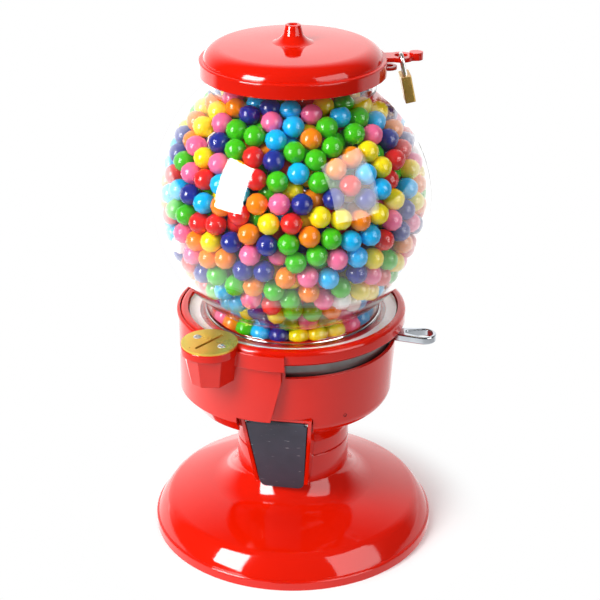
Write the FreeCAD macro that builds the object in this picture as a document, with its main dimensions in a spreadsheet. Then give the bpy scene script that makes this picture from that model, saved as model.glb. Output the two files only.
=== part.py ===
import FreeCAD, Part
import math
import os
import re

import PartDesign
import Sketcher
from FreeCAD import Placement, Rotation, Vector

# A coin-operated gumball machine: a cast pedestal, a drum with a lever slot, a clear globe and a locked lid.
# Millimetres, +Z up, the axis of the globe is Z, the chute flap faces -Y and the lever rests along +X.

doc = FreeCAD.newDocument("gumball_machine")
sheet = doc.addObject("Spreadsheet::Sheet", "Size")

SIZES = [
    # pedestal
    ("base_radius", 104.0), ("base_lip", 6.0), ("base_wall", 3.5), ("band_inset", 10.0),
    ("band_height", 21.5), ("neck_radius", 41.3), ("neck_foot", 50.0), ("seam_height", 72.0),
    ("seam_bevel", 0.8), ("skirt_radius", 60.0), ("skirt_height", 33.0), ("ledge_inset", 7.2),
    ("ledge_height", 8.3), ("cover_thickness", 1.2), ("rod_radius", 4.0),
    # drum
    ("drum_wall", 3.4), ("spigot_depth", 10.0), ("collar_top", 83.0), ("flare_radius", 50.0),
    ("flare_top", 98.0), ("drum_low_radius", 72.0), ("drum_top_radius", 75.6), ("drum_edge", 10.0),
    ("drum_low", 116.0), ("slot_low", 154.1), ("drum_top", 165.8), ("floor_top", 151.5),
    ("floor_thickness", 3.0), ("slot_first", -84.0), ("slot_last", 14.0), ("hub_radius", 9.0),
    ("hub_length", 11.5), ("drop_radius", 48.0), ("drop_hole", 9.5),
    # ring and globe
    ("ring_radius", 81.0), ("ring_height", 11.2), ("ring_seat", 4.5), ("ring_inner", 66.5),
    ("ring_round", 3.0), ("gasket_thickness", 1.0), ("globe_radius", 97.0), ("globe_wall", 3.0),
    ("globe_height", 260.0), ("flange_radius", 75.2), ("flange_thickness", 3.8), ("throat_radius", 62.0),
    ("mouth_radius", 57.0), ("mouth_top", 355.0), ("lid_gasket_thickness", 1.5),
    # lid, keeper and padlock
    ("lid_radius", 63.6), ("lid_skirt", 10.1), ("lid_wall", 2.2), ("lid_rise", 3.5),
    ("lid_shoulder", 60.6), ("lid_crown_radius", 50.0), ("crown_rise", 9.1), ("dome_rise", 1.4),
    ("knob_foot", 14.0), ("knob_radius", 5.5), ("knob_height", 12.0), ("ear_angle", 14.0),
    ("ear_reach", 88.0), ("ear_width", 14.0), ("ear_thickness", 3.0), ("ear_middle", 73.0),
    ("ear_loop", 8.5), ("ear_hole", 4.6),
    ("keeper_height", 6.0), ("keeper_wall", 2.0), ("keeper_middle", 64.4),
    ("keeper_loop", 6.2), ("shackle_wire", 1.4),
    ("shackle_span", 9.0), ("shackle_drop", 9.5), ("lock_width", 17.0), ("lock_depth", 7.0),
    ("shackle_rise", 1.9), ("lock_height", 18.0), ("lock_lean", 12.0),
    # dispensing wheel and lever
    ("wheel_radius", 70.5), ("wheel_gap", 0.8), ("wheel_sheet", 1.6), ("bush_radius", 6.0),
    ("bush_flange", 0.6), ("spring_radius", 13.0), ("spring_wire", 0.8), ("spring_pitch", 2.0),
    ("pocket_radius", 9.0), ("lever_reach", 104.0), ("lever_root", 60.0), ("loop_length", 19.5),
    ("lever_half", 8.6), ("lever_rail", 2.6), ("lever_tang", 3.4), ("lever_thickness", 5.6),
    ("lever_height", 157.8), ("lever_turn", 78.0), ("rivet_radius", 1.1), ("guard_thickness", 1.5),
    ("guard_radius", 15.0),
    # coin housing
    ("shroud_shift", 4.0), ("shroud_radius", 80.0), ("shroud_wall", 3.0), ("shroud_low", 117.0),
    ("shroud_foot", 105.5), ("shroud_foot_radius", 70.0), ("shroud_span", 127.0), ("shroud_middle", -146.5),
    ("shroud_edge_top", 9.6), ("shroud_edge_foot", -2.0), ("lobe_height", 10.4), ("collar_wall", 2.2),
    ("collar_height", 8.4), ("collar_last", -84.0), ("lobe_span", 96.0),
    ("coin_angle", -120.0), ("coin_radius", 88.5), ("coin_rim", 19.4), ("coin_plate_thickness", 1.6),
    ("coin_box_low", 150.5), ("coin_box_rim", 5.4), ("coin_slot_length", 27.5), ("coin_slot_width", 2.2),
    ("coin_screw_spacing", 22.4), ("coin_channel", 4.5),
    # chute and flap
    ("chute_top", 120.0), ("chute_front", 70.0), ("chute_foot", 54.0), ("chute_foot_front", 47.5),
    ("chute_half_top", 25.6), ("chute_half_foot", 19.4), ("chute_wall", 2.8), ("chute_seat", 60.4),
    ("flap_length", 67.0), ("flap_thickness", 1.5),
    ("flap_half_top", 21.6), ("flap_half_foot", 15.6), ("flap_barrel", 2.6), ("pin_radius", 1.2),
    ("flap_corner", 5.0), ("ramp_half", 14.0), ("ramp_sheet", 1.4),
    # gaps
    ("seat_gap", 0.3), ("running_gap", 0.06),
]
for row, (name, size) in enumerate(SIZES, 1):
    sheet.set(f"A{row}", name.replace("_", " "))
    sheet.set(f"B{row}", str(size))
    sheet.setAlias(f"B{row}", name)
doc.recompute()
NAMES = {name for name, _ in SIZES}


def cells(text):
    """The expression with the sheet's name put before each size."""
    return re.sub(r"[a-z_]+", lambda word: "Size." + word[0] if word[0] in NAMES else word[0], str(text))


def number(text):
    """What an expression comes to with the sizes as they are."""
    found = sheet.evalExpression(cells(text))
    return float(getattr(found, "Value", found))


def new_body(name):
    body = doc.addObject("PartDesign::Body", name)
    body.Label = name
    return body


def plane_sketch(body, name, plane, offset="0", turn="0"):
    """An empty sketch on an origin plane of its body, moved along the normal or turned about its own Y."""
    sketch = body.newObject("Sketcher::SketchObject", name)
    support = [part for part in body.Origin.OriginFeatures if part.Role == plane][0]
    sketch.AttachmentSupport = (support, [""])
    sketch.MapMode = "FlatFace"
    sketch.AttachmentOffset = Placement(Vector(0, 0, 0), Rotation(Vector(0, 1, 0), number(turn)))
    sketch.setExpression("AttachmentOffset.Base.z", cells(offset))
    return sketch


def hold(sketch, edge, end, x, y):
    """Ties a point of the sketch to two expressions, measured from the origin."""
    for kind, axis, text in (("DistanceX", -2, x), ("DistanceY", -1, y)):
        size = number(text)
        if str(text) == "0":
            sketch.addConstraint(Sketcher.Constraint("PointOnObject", edge, end, axis))
            continue
        place = sketch.addConstraint(Sketcher.Constraint(kind, -1, 1, edge, end, size))
        sketch.setExpression(f"Constraints[{place}]", cells(text))


def outline(sketch, points):
    """A closed outline. A third value is the radius of the arc that leaves the point, minus for clockwise."""
    corners = [Vector(number(point[0]), number(point[1]), 0) for point in points]
    edges = []
    for place, point in enumerate(points):
        start = corners[place]
        stop = corners[(place + 1) % len(corners)]
        if len(point) == 2:
            edges.append((sketch.addGeometry(Part.LineSegment(start, stop), False), 1, 2))
            continue
        radius = number(point[2])
        chord = stop - start
        rise = math.sqrt(radius ** 2 - chord.Length ** 2 / 4)
        left = Vector(-chord.y, chord.x, 0).normalize()
        centre = (start + stop) * 0.5 + left * math.copysign(rise, radius)
        first = math.atan2(start.y - centre.y, start.x - centre.x)
        last = math.atan2(stop.y - centre.y, stop.x - centre.x)
        ends = (1, 2) if radius > 0 else (2, 1)
        angles = (first, last) if radius > 0 else (last, first)
        circle = Part.Circle(centre, Vector(0, 0, 1), abs(radius))
        edge = sketch.addGeometry(Part.ArcOfCircle(circle, *angles), False)
        edges.append((edge, *ends))
    for place, (edge, _, stop) in enumerate(edges):
        following, start, _ = edges[(place + 1) % len(edges)]
        sketch.addConstraint(Sketcher.Constraint("Coincident", edge, stop, following, start))
    for (edge, start, _), point in zip(edges, points):
        hold(sketch, edge, start, point[0], point[1])
        if len(point) == 3:
            size = sketch.addConstraint(Sketcher.Constraint("Radius", edge, abs(number(point[2]))))
            sketch.setExpression(f"Constraints[{size}]", cells(f"abs({point[2]})"))


def ring(sketch, x, y, radius):
    """A circle whose middle and radius are expressions."""
    middle = Vector(number(x), number(y), 0)
    edge = sketch.addGeometry(Part.Circle(middle, Vector(0, 0, 1), number(radius)), False)
    hold(sketch, edge, 3, x, y)
    size = sketch.addConstraint(Sketcher.Constraint("Radius", edge, number(radius)))
    sketch.setExpression(f"Constraints[{size}]", cells(radius))


def revolve(body, name, points, turn="0", angle=None):
    """A profile of radius and height turned about Z, all round or by an angle to both sides."""
    sketch = plane_sketch(body, name + "_profile", "XZ_Plane", turn=turn)
    outline(sketch, points)
    feature = body.newObject("PartDesign::Revolution", name)
    feature.Profile = sketch
    feature.ReferenceAxis = (sketch, ["V_Axis"])
    feature.Angle = 360
    if angle:
        feature.Midplane = True
        feature.setExpression("Angle", cells(angle))
    return feature


def pad(body, name, sketch, length, middle=False):
    feature = body.newObject("PartDesign::Pad", name)
    feature.Profile = sketch
    feature.Midplane = middle
    feature.setExpression("Length", cells(length))
    return feature


def pocket(body, name, sketch, length=None, upward=False, middle=False):
    """A cut down from its sketch, or upward, to a depth or right through."""
    feature = body.newObject("PartDesign::Pocket", name)
    feature.Profile = sketch
    feature.Midplane = middle
    feature.Reversed = upward
    if length:
        feature.setExpression("Length", cells(length))
    else:
        feature.Type = "ThroughAll"
    return feature


def round_edges(body, name, radius, chosen):
    """Rounds the edges of a body's last feature whose boxes are chosen."""
    doc.recompute()
    last = body.Tip
    edges = [f"Edge{place}" for place, edge in enumerate(last.Shape.Edges, 1) if chosen(edge.BoundBox)]
    feature = body.newObject("PartDesign::Fillet", name)
    feature.Base = (last, edges)
    feature.setExpression("Radius", cells(radius))
    return feature


def turned(name, points):
    """A sub-part that is one profile turned about Z."""
    body = new_body(name)
    revolve(body, name + "_turned", points)
    return body


def place_at(part, radius, angle, height="0", lean="0"):
    """Stands a sub-part at a radius and an angle about Z, its own +X pointing outwards."""
    heading = number(angle)
    turn = Rotation(Vector(0, 0, 1), heading).multiply(Rotation(Vector(0, 1, 0), -number(lean)))
    out = Vector(math.cos(math.radians(heading)), math.sin(math.radians(heading)), 0)
    part.Placement = Placement(out * number(radius) + Vector(0, 0, number(height)), turn)


def box_points(low_x, low_y, high_x, high_y):
    return [(low_x, low_y), (high_x, low_y), (high_x, high_y), (low_x, high_y)]


def base():
    """Cast pedestal: a lip, a domed skirt and a neck, hollow as the coin bank."""
    return turned("base", [
        ("base_radius", "0"),
        ("base_radius", "base_lip", "1.5"),
        ("base_radius - 1.5", "base_lip + 1.5", "45"),
        ("base_radius - band_inset + 1", "band_height - 1.3", "12"),
        ("base_radius - band_inset - 3.5", "band_height + 1.9", "200"),
        ("skirt_radius", "skirt_height", "-26"),
        ("neck_radius", "neck_foot"),
        ("neck_radius", "seam_height - seam_bevel"),
        ("neck_radius - seam_bevel", "seam_height"),
        ("neck_radius - base_wall", "seam_height"),
        ("neck_radius - base_wall", "neck_foot - 2", "26"),
        ("skirt_radius - 2", "skirt_height - 1.2 * base_wall"),
        ("base_radius - band_inset - base_wall", "band_height - base_wall"),
        ("base_radius - ledge_inset - 4.3", "ledge_height"),
        ("base_radius - ledge_inset", "ledge_height"),
        ("base_radius - ledge_inset", "ledge_height - 2.3"),
        ("base_radius - base_wall", "base_lip / 2"),
        ("base_radius - base_wall", "0"),
    ])


def bottom_cover():
    """Sheet disc that closes the coin bank, pulled up against the ledge by the thumb nut."""
    return turned("bottom_cover", [
        ("rod_radius + seat_gap", "ledge_height - cover_thickness"),
        ("base_radius - ledge_inset - seat_gap", "ledge_height - cover_thickness"),
        ("base_radius - ledge_inset - seat_gap", "ledge_height"),
        ("rod_radius + seat_gap", "ledge_height"),
    ])


def thumb_nut():
    """Knurled nut under the bottom cover."""
    body = turned("thumb_nut", [
        ("rod_radius + running_gap", "1.2"),
        ("10", "1.2"), ("11", "2.2"),
        ("11", "ledge_height - cover_thickness"),
        ("rod_radius + running_gap", "ledge_height - cover_thickness"),
    ])
    sketch = plane_sketch(body, "grip", "XY_Plane", "ledge_height - cover_thickness")
    ring(sketch, "11.4", "0", "1.1")
    cut = pocket(body, "grip_cut", sketch)
    grips = body.newObject("PartDesign::PolarPattern", "grips")
    grips.Originals = [cut]
    grips.Axis = (sketch, ["N_Axis"])
    grips.Angle = 360
    grips.Occurrences = 18
    body.Tip = grips
    return body


def center_rod():
    """Long rod that holds bank, pedestal and drum together and carries the wheel."""
    return turned("center_rod", [
        ("0", "0.8"), ("rod_radius - 0.8", "0.8"), ("rod_radius", "1.6"),
        ("rod_radius", "drum_top + 9"), ("rod_radius - 0.8", "drum_top + 9.8"), ("0", "drum_top + 9.8"),
    ])


def hex_nut(name, low, height):
    """Hexagon nut on the center rod."""
    body = new_body(name)
    sketch = plane_sketch(body, name + "_face", "XY_Plane", low)
    across = "1.15 * (rod_radius + 3)"
    turns = [f"{15 + 60 * side}" for side in range(6)]
    outline(sketch, [(f"{across} * cos({turn})", f"{across} * sin({turn})") for turn in turns])
    ring(sketch, "0", "0", "rod_radius + running_gap")
    pad(body, name + "_pad", sketch, height)
    return body


def drum():
    """Cast drum: collar and spigot below, a ledge for the floor plate, the lever's slot in its front wall."""
    body = turned("drum", [
        ("neck_radius - base_wall - seat_gap", "seam_height - spigot_depth"),
        ("neck_radius - base_wall - seat_gap", "seam_height"),
        ("neck_radius - seam_bevel", "seam_height"),
        ("neck_radius", "seam_height + seam_bevel"),
        ("neck_radius", "collar_top", "-24"),
        ("flare_radius", "flare_top"),
        ("drum_low_radius - 0.9 * drum_edge", "drum_low - 1.1 * drum_edge", "1.1 * drum_edge"),
        ("drum_low_radius", "drum_low"),
        ("drum_top_radius", "drum_top"),
        ("drum_top_radius - drum_wall", "drum_top"),
        ("drum_top_radius - drum_wall", "floor_top - floor_thickness"),
        ("drum_low_radius - drum_wall", "floor_top - floor_thickness"),
        ("drum_low_radius - drum_wall", "drum_low"),
        ("drum_low_radius - drum_edge", "drum_low - 0.7 * drum_edge"),
        ("flare_radius - 1.5", "flare_top + 1.1 * drum_wall"),
        ("neck_radius - 2 * base_wall", "collar_top - 1"),
        ("neck_radius - 2 * base_wall", "seam_height - spigot_depth"),
    ])
    slot = plane_sketch(body, "lever_slot", "XY_Plane", "slot_low")
    far = "1.5 * drum_top_radius"
    outline(slot, [("0", "0"), (f"{far} * cos(slot_first)", f"{far} * sin(slot_first)"),
                   (f"{far}", f"-{far}"), (f"{far} * cos(slot_last)", f"{far} * sin(slot_last)")])
    pocket(body, "lever_slot_cut", slot, upward=True)
    notch = plane_sketch(body, "chute_notch", "XZ_Plane", "chute_seat")
    outline(notch, box_points("-chute_half_top - seat_gap", "drum_low - 2 * drum_edge",
                              "chute_half_top + seat_gap", "chute_top + seat_gap"))
    pocket(body, "chute_notch_cut", notch, upward=True)
    window = plane_sketch(body, "coin_window", "XY_Plane", "floor_top - floor_thickness")
    coin_way(window, "drum_low_radius - 2 * drum_wall", "drum_top_radius + 2")
    pocket(body, "coin_window_cut", window, "28")
    return body


def drum_floor():
    """Plate on the drum's ledge that the wheel turns over, with the hub for the rod and the drop hole."""
    body = turned("drum_floor", [
        ("rod_radius + running_gap", "floor_top - hub_length"),
        ("hub_radius", "floor_top - hub_length"),
        ("hub_radius", "floor_top - floor_thickness"),
        ("drum_top_radius - drum_wall - seat_gap", "floor_top - floor_thickness"),
        ("drum_top_radius - drum_wall - seat_gap", "floor_top"),
        ("rod_radius + running_gap", "floor_top"),
    ])
    drop = plane_sketch(body, "drop_hole_face", "XY_Plane", "floor_top + 1")
    ring(drop, "0", "-drop_radius", "drop_hole")
    pocket(body, "drop_hole_cut", drop, "floor_thickness + 2")
    return body


def coin_way(sketch, inner, outer):
    """The straight radial way that a coin takes, as a rectangle seen from above."""
    half = "coin_channel / 2"
    along = ("cos(coin_angle)", "sin(coin_angle)")
    across = ("-sin(coin_angle)", "cos(coin_angle)")
    corners = [(inner, "-1"), (outer, "-1"), (outer, "1"), (inner, "1")]
    outline(sketch, [(f"({reach}) * {along[0]} + {side} * {half} * {across[0]}",
                      f"({reach}) * {along[1]} + {side} * {half} * {across[1]}") for reach, side in corners])


def globe_ring():
    """Cast ring on the drum, with the seat for the globe's foot and a notch under the coin plate."""
    body = turned("globe_ring", [
        ("ring_inner", "drum_top"),
        ("ring_radius - 2.5", "drum_top"),
        ("ring_radius", "drum_top + 2.2"),
        ("ring_radius", "drum_top + ring_height - ring_round", "ring_round"),
        ("ring_radius - ring_round", "drum_top + ring_height"),
        ("flange_radius + 0.4", "drum_top + ring_height"),
        ("flange_radius + 0.4", "drum_top + ring_seat"),
        ("ring_inner", "drum_top + ring_seat"),
    ])
    notch = plane_sketch(body, "coin_notch", "XY_Plane", "drum_top - 1")
    coin_way(notch, "flange_radius + 0.8", "ring_radius + 2")
    pocket(body, "coin_notch_cut", notch, upward=True)
    return body


def globe_gasket():
    """Soft ring between the globe's foot and its seat."""
    return turned("globe_gasket", box_points("ring_inner + 0.5", "drum_top + ring_seat",
                                             "flange_radius",
                                             "drum_top + ring_seat + gasket_thickness - running_gap"))


def globe():
    """Clear globe: foot flange, throat, sphere and mouth in one moulding."""
    foot = "drum_top + ring_seat + gasket_thickness"
    low = "globe_height - sqrt(globe_radius ^ 2 - throat_radius ^ 2)"
    high = "globe_height + sqrt(globe_radius ^ 2 - mouth_radius ^ 2)"
    inner = "(globe_radius - globe_wall)"
    throat = "(throat_radius - globe_wall)"
    mouth = "(mouth_radius - globe_wall)"
    return turned("globe", [
        (throat, foot),
        ("flange_radius", foot),
        ("flange_radius", f"{foot} + flange_thickness - 0.6"),
        ("flange_radius - 0.6", f"{foot} + flange_thickness"),
        ("throat_radius + 2.5", f"{foot} + flange_thickness", "-2.5"),
        ("throat_radius", f"{foot} + flange_thickness + 2.5"),
        ("throat_radius", low, "globe_radius"),
        ("mouth_radius", high),
        ("mouth_radius", "mouth_top"),
        (mouth, "mouth_top"),
        (mouth, f"globe_height + sqrt({inner} ^ 2 - {mouth} ^ 2)", f"-{inner}"),
        (throat, f"globe_height - sqrt({inner} ^ 2 - {throat} ^ 2)"),
    ])


def gumballs():
    """The load of gumballs, as the space that the heap fills inside the globe."""
    inner = "(globe_radius - globe_wall - seat_gap)"
    throat = "(throat_radius - globe_wall - seat_gap)"
    mouth = "(mouth_radius - globe_wall - seat_gap)"
    floor = "drum_top + seat_gap + 2 * guard_thickness"
    return turned("gumballs", [
        ("0", "drum_top + 11"),
        ("hub_radius + 1", "drum_top + 11"),
        ("hub_radius + 1", floor),
        (throat, floor),
        (throat, f"globe_height - sqrt({inner} ^ 2 - {throat} ^ 2)", inner),
        (mouth, f"globe_height + sqrt({inner} ^ 2 - {mouth} ^ 2)"),
        (mouth, "mouth_top - 17"),
        ("0", "mouth_top - 11"),
    ])


def lid_gasket():
    """Soft ring on the globe's mouth, under the lid."""
    return turned("lid_gasket", box_points("mouth_radius - globe_wall", "mouth_top",
                                           "mouth_radius", "mouth_top + lid_gasket_thickness"))


LID_STEP = "(mouth_top + lid_rise)"
LID_LOW = f"({LID_STEP} - lid_skirt)"
LID_CROWN = f"({LID_STEP} + crown_rise)"
LID_TOP = f"({LID_CROWN} + dome_rise)"
KNOB_TOP = f"({LID_TOP} + knob_height)"


def lid():
    """Cast lid with a stepped skirt, a low crown, a small knob and a locking ear with its loop and lug."""
    body = turned("lid", [
        ("lid_radius - lid_wall", LID_LOW),
        ("lid_radius", LID_LOW),
        ("lid_radius", f"{LID_STEP} - 1.2", "1.2"),
        ("lid_radius - 1.2", LID_STEP),
        ("lid_shoulder", LID_STEP),
        ("lid_shoulder", f"{LID_STEP} + 0.8", "12"),
        ("lid_crown_radius", LID_CROWN, "420"),
        ("knob_foot", LID_TOP, "-12"),
        ("1.25 * knob_radius", f"{KNOB_TOP} - 6.5"),
        ("knob_radius", f"{KNOB_TOP} - 0.8", "0.8"),
        ("knob_radius - 0.8", KNOB_TOP),
        ("knob_radius - 2.2", KNOB_TOP),
        ("knob_radius - 2.8", f"{KNOB_TOP} - 1"),
        ("0", f"{KNOB_TOP} - 1"),
        ("0", f"{LID_TOP} - lid_wall"),
        ("lid_crown_radius - 2", f"{LID_CROWN} - lid_wall"),
        ("mouth_radius - globe_wall - 1", "mouth_top + lid_gasket_thickness"),
        ("lid_radius - lid_wall", "mouth_top + lid_gasket_thickness"),
    ])
    notch = plane_sketch(body, "keeper_notch", "XY_Plane", f"{LID_LOW} - 1")
    ear_strip(notch, "lid_radius - 2 * lid_wall", "lid_radius + 2", "-ear_width / 2 - 1", "ear_width / 2 + 1")
    pocket(body, "keeper_notch_cut", notch, "keeper_height - keeper_wall + 1", upward=True)
    ear = plane_sketch(body, "ear", "XY_Plane", f"{LID_STEP} - ear_thickness")
    ear_strip(ear, "lid_radius - lid_wall / 2", "ear_middle", "-ear_width / 2", "ear_width / 2")
    pad(body, "ear_pad", ear, "ear_thickness")
    loop = plane_sketch(body, "ear_loop", "XY_Plane", f"{LID_STEP} - ear_thickness")
    ear_ring(loop, "ear_middle", "ear_loop")
    pad(body, "ear_loop_pad", loop, "ear_thickness")
    lug = plane_sketch(body, "ear_lug", "XY_Plane", f"{LID_STEP} - ear_thickness")
    ear_strip(lug, "ear_middle", "ear_reach - ear_thickness", "-ear_width / 3", "ear_width / 3")
    pad(body, "ear_lug_pad", lug, "ear_thickness")
    boss = plane_sketch(body, "ear_boss", "XY_Plane", f"{LID_STEP} - ear_thickness")
    ear_ring(boss, "ear_reach - ear_width / 3", "ear_width / 3")
    pad(body, "ear_boss_pad", boss, "1.7 * ear_thickness")
    hole = plane_sketch(body, "ear_hole_face", "XY_Plane", f"{LID_STEP} + ear_thickness")
    ear_ring(hole, "ear_middle", "ear_hole")
    pocket(body, "ear_hole_cut", hole, "3 * ear_thickness")
    return body


def ear_ring(sketch, reach, radius):
    """A circle on the ear's heading, seen from above."""
    ring(sketch, f"({reach}) * cos(ear_angle)", f"({reach}) * sin(ear_angle)", radius)


def ear_strip(sketch, inner, outer, left, right):
    """A strip along the ear's heading, seen from above."""
    corners = [(inner, left), (outer, left), (outer, right), (inner, right)]
    outline(sketch, [(f"({reach}) * cos(ear_angle) - ({side}) * sin(ear_angle)",
                      f"({reach}) * sin(ear_angle) + ({side}) * cos(ear_angle)") for reach, side in corners])


def neck_band():
    """Enamelled band round the globe's mouth, with the keeper's loop under the lid's ear."""
    body = turned("neck_band", box_points("mouth_radius + seat_gap", f"{LID_LOW} + 1",
                                          "mouth_radius + seat_gap + keeper_wall",
                                          f"{LID_LOW} + 1 + keeper_height"))
    keeper = plane_sketch(body, "keeper", "XY_Plane", f"{LID_LOW} + 1")
    half = "0.9 * keeper_loop"
    ear_strip(keeper, "mouth_radius + keeper_wall", "keeper_middle", f"-{half}", half)
    pad(body, "keeper_pad", keeper, "keeper_wall")
    loop = plane_sketch(body, "keeper_loop_face", "XY_Plane", f"{LID_LOW} + 1")
    ear_ring(loop, "keeper_middle", "keeper_loop")
    pad(body, "keeper_loop_pad", loop, "keeper_wall")
    hole = plane_sketch(body, "keeper_hole_face", "XY_Plane", f"{LID_LOW} + 2 * keeper_wall")
    ear_ring(hole, "keeper_middle + keeper_wall / 4", "keeper_loop / 2")
    pocket(body, "keeper_hole_cut", hole, "3 * keeper_wall")
    return body


def padlock_pieces():
    """Small brass padlock hung on the front rail of the lid's ear: shackle, case and key plug."""
    rail = "(ear_loop + ear_hole) / 2"
    shackle = new_body("padlock_shackle")
    path = plane_sketch(shackle, "shackle_path", "YZ_Plane")
    half = "shackle_span / 2"
    top = path.addGeometry(Part.ArcOfCircle(Part.Circle(Vector(0, 0, 0), Vector(0, 0, 1), number(half)),
                                            0, math.pi), False)
    drop = number("shackle_drop")
    span = number(half)
    right = path.addGeometry(Part.LineSegment(Vector(span, 0, 0), Vector(span, -drop, 0)), False)
    left = path.addGeometry(Part.LineSegment(Vector(-span, 0, 0), Vector(-span, -drop, 0)), False)
    path.addConstraint(Sketcher.Constraint("Coincident", top, 1, right, 1))
    path.addConstraint(Sketcher.Constraint("Coincident", top, 2, left, 1))
    path.addConstraint(Sketcher.Constraint("Coincident", top, 3, -1, 1))
    hold(path, right, 1, half, "0")
    path.addConstraint(Sketcher.Constraint("PointOnObject", left, 1, -1))
    hold(path, right, 2, half, "-shackle_drop")
    hold(path, left, 2, f"-{half}", "-shackle_drop")
    section = plane_sketch(shackle, "shackle_section", "XY_Plane", "-shackle_drop")
    ring(section, "0", half, "shackle_wire")
    bend = shackle.newObject("PartDesign::AdditivePipe", "shackle_bend")
    bend.Profile = section
    bend.Spine = (path, ["Edge2", "Edge1", "Edge3"])
    case = new_body("padlock_case")
    face = plane_sketch(case, "case_face", "XY_Plane", "-shackle_drop - lock_height")
    outline(face, box_points("-lock_depth / 2", "-lock_width / 2", "lock_depth / 2", "lock_width / 2"))
    pad(case, "case_pad", face, "lock_height")
    round_edges(case, "case_rounding", "lock_depth / 6", lambda box: box.ZLength > number("lock_height") - 1)
    well = plane_sketch(case, "plug_well", "XY_Plane", "-shackle_drop - lock_height")
    ring(well, "0", "0", "lock_depth / 3")
    pocket(case, "plug_well_cut", well, "6", upward=True)
    plug = new_body("padlock_plug")
    nose = plane_sketch(plug, "plug_face", "XY_Plane", "-shackle_drop - lock_height")
    ring(nose, "0", "0", "lock_depth / 3 - running_gap")
    pad(plug, "plug_pad", nose, "6")
    keyway = plane_sketch(plug, "keyway", "XY_Plane", "-shackle_drop - lock_height")
    outline(keyway, box_points("-0.4", "-1.5", "0.4", "1.5"))
    pocket(plug, "keyway_cut", keyway, "4", upward=True)
    heading = math.radians(number("ear_angle"))
    across = Vector(math.sin(heading), -math.cos(heading), 0) * number(rail)
    for piece in (shackle, case, plug):
        place_at(piece, "ear_middle", "ear_angle", f"{LID_STEP} - shackle_rise", "lock_lean")
        piece.Placement.Base = piece.Placement.Base + across
    return [shackle, case, plug]


LEVER_GRIP = "(lever_reach - lever_half)"
RIVETS = ["lever_root + 2.4", "lever_root + 6.8"]


def wheel():
    """Steel dispensing wheel: a top plate, a deep rim that shows in the lever's slot, and one ball pocket."""
    low = "floor_top + wheel_gap"
    high = "drum_top - wheel_gap"
    bore = "bush_radius + running_gap"
    body = turned("wheel", [
        (bore, low),
        (f"{bore} + 3.4", low),
        (f"{bore} + 3.4", f"{high} - wheel_sheet"),
        ("wheel_radius - wheel_sheet", f"{high} - wheel_sheet"),
        ("wheel_radius - wheel_sheet", low),
        ("wheel_radius", low),
        ("wheel_radius", f"{high} - 2", "2"),
        ("wheel_radius - 2", high),
        (bore, high),
    ])
    place = ("drop_radius * cos(lever_turn - 90)", "drop_radius * sin(lever_turn - 90)")
    wall = plane_sketch(body, "pocket_wall", "XY_Plane", low)
    ring(wall, *place, "pocket_radius + wheel_sheet")
    pad(body, "pocket_wall_pad", wall, f"{high} - ({low}) - 0.2")
    hole = plane_sketch(body, "pocket_face", "XY_Plane", f"{high} + 1")
    ring(hole, *place, "pocket_radius")
    pocket(body, "pocket_cut", hole)
    window = plane_sketch(body, "lever_window", "YZ_Plane", "lever_root")
    share = f"(wheel_radius - lever_root) / ({LEVER_GRIP} - lever_root)"
    half = f"(lever_tang + (lever_half - lever_tang) * {share} + 2 * seat_gap)"
    height = "(lever_thickness / 2 + seat_gap)"
    outline(window, box_points(f"-{half}", f"lever_height - {height}", half, f"lever_height + {height}"))
    pocket(body, "lever_window_cut", window, "30", upward=True)
    holes = plane_sketch(body, "wheel_rivet_holes", "XY_Plane", f"{high} + 1")
    for rivet in RIVETS:
        ring(holes, rivet, "0", "rivet_radius + running_gap")
    pocket(body, "wheel_rivet_cut", holes, "wheel_sheet + 1.5")
    return body


def teardrop(near, near_half, far, far_half):
    """Half of a teardrop about the X axis: where its sides leave the two end circles, minus side first."""
    sine = f"(({far_half} - {near_half}) / ({far} - {near}))"
    cosine = f"sqrt(1 - {sine} ^ 2)"
    start = (f"{near} - {near_half} * {sine}", f"{near_half} * {cosine}")
    stop = (f"{far} - {far_half} * {sine}", f"{far_half} * {cosine}")
    return start, stop


def lever():
    """Plated finger loop on a flat tang that goes through the wheel's rim."""
    body = new_body("lever")
    face = plane_sketch(body, "lever_face", "XY_Plane", f"lever_height - lever_thickness / 2")
    start, stop = teardrop("lever_root", "lever_tang", LEVER_GRIP, "lever_half")
    outline(face, [
        ("lever_root", f"-({start[1]})"), (stop[0], f"-({stop[1]})", "lever_half"),
        ("lever_reach", "0", "lever_half"), stop, ("lever_root", start[1]),
    ])
    pad(body, "lever_pad", face, "lever_thickness")
    loop = plane_sketch(body, "loop_face", "XY_Plane", f"lever_height + lever_thickness")
    inside = "(lever_half - lever_rail)"
    tip = "(lever_reach - loop_length)"
    small = f"(0.4 * {inside})"
    start, stop = teardrop(tip, small, LEVER_GRIP, inside)
    outline(loop, [
        (start[0], f"-({start[1]})"), (stop[0], f"-({stop[1]})", inside),
        (f"{LEVER_GRIP} + {inside}", "0", inside), stop,
        (start[0], start[1], small), (f"{tip} - {small}", "0", small),
    ])
    pocket(body, "loop_cut", loop)
    holes = plane_sketch(body, "lever_rivet_holes", "XY_Plane", f"lever_height + lever_thickness")
    for place in RIVETS:
        ring(holes, place, "0", "rivet_radius + running_gap")
    pocket(body, "lever_rivet_cut", holes)
    rim = number("wheel_radius")
    round_edges(body, "lever_rounding", "0.4 * lever_rail",
                lambda box: box.ZLength < 0.01 and box.XMax > rim)
    return body


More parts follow.
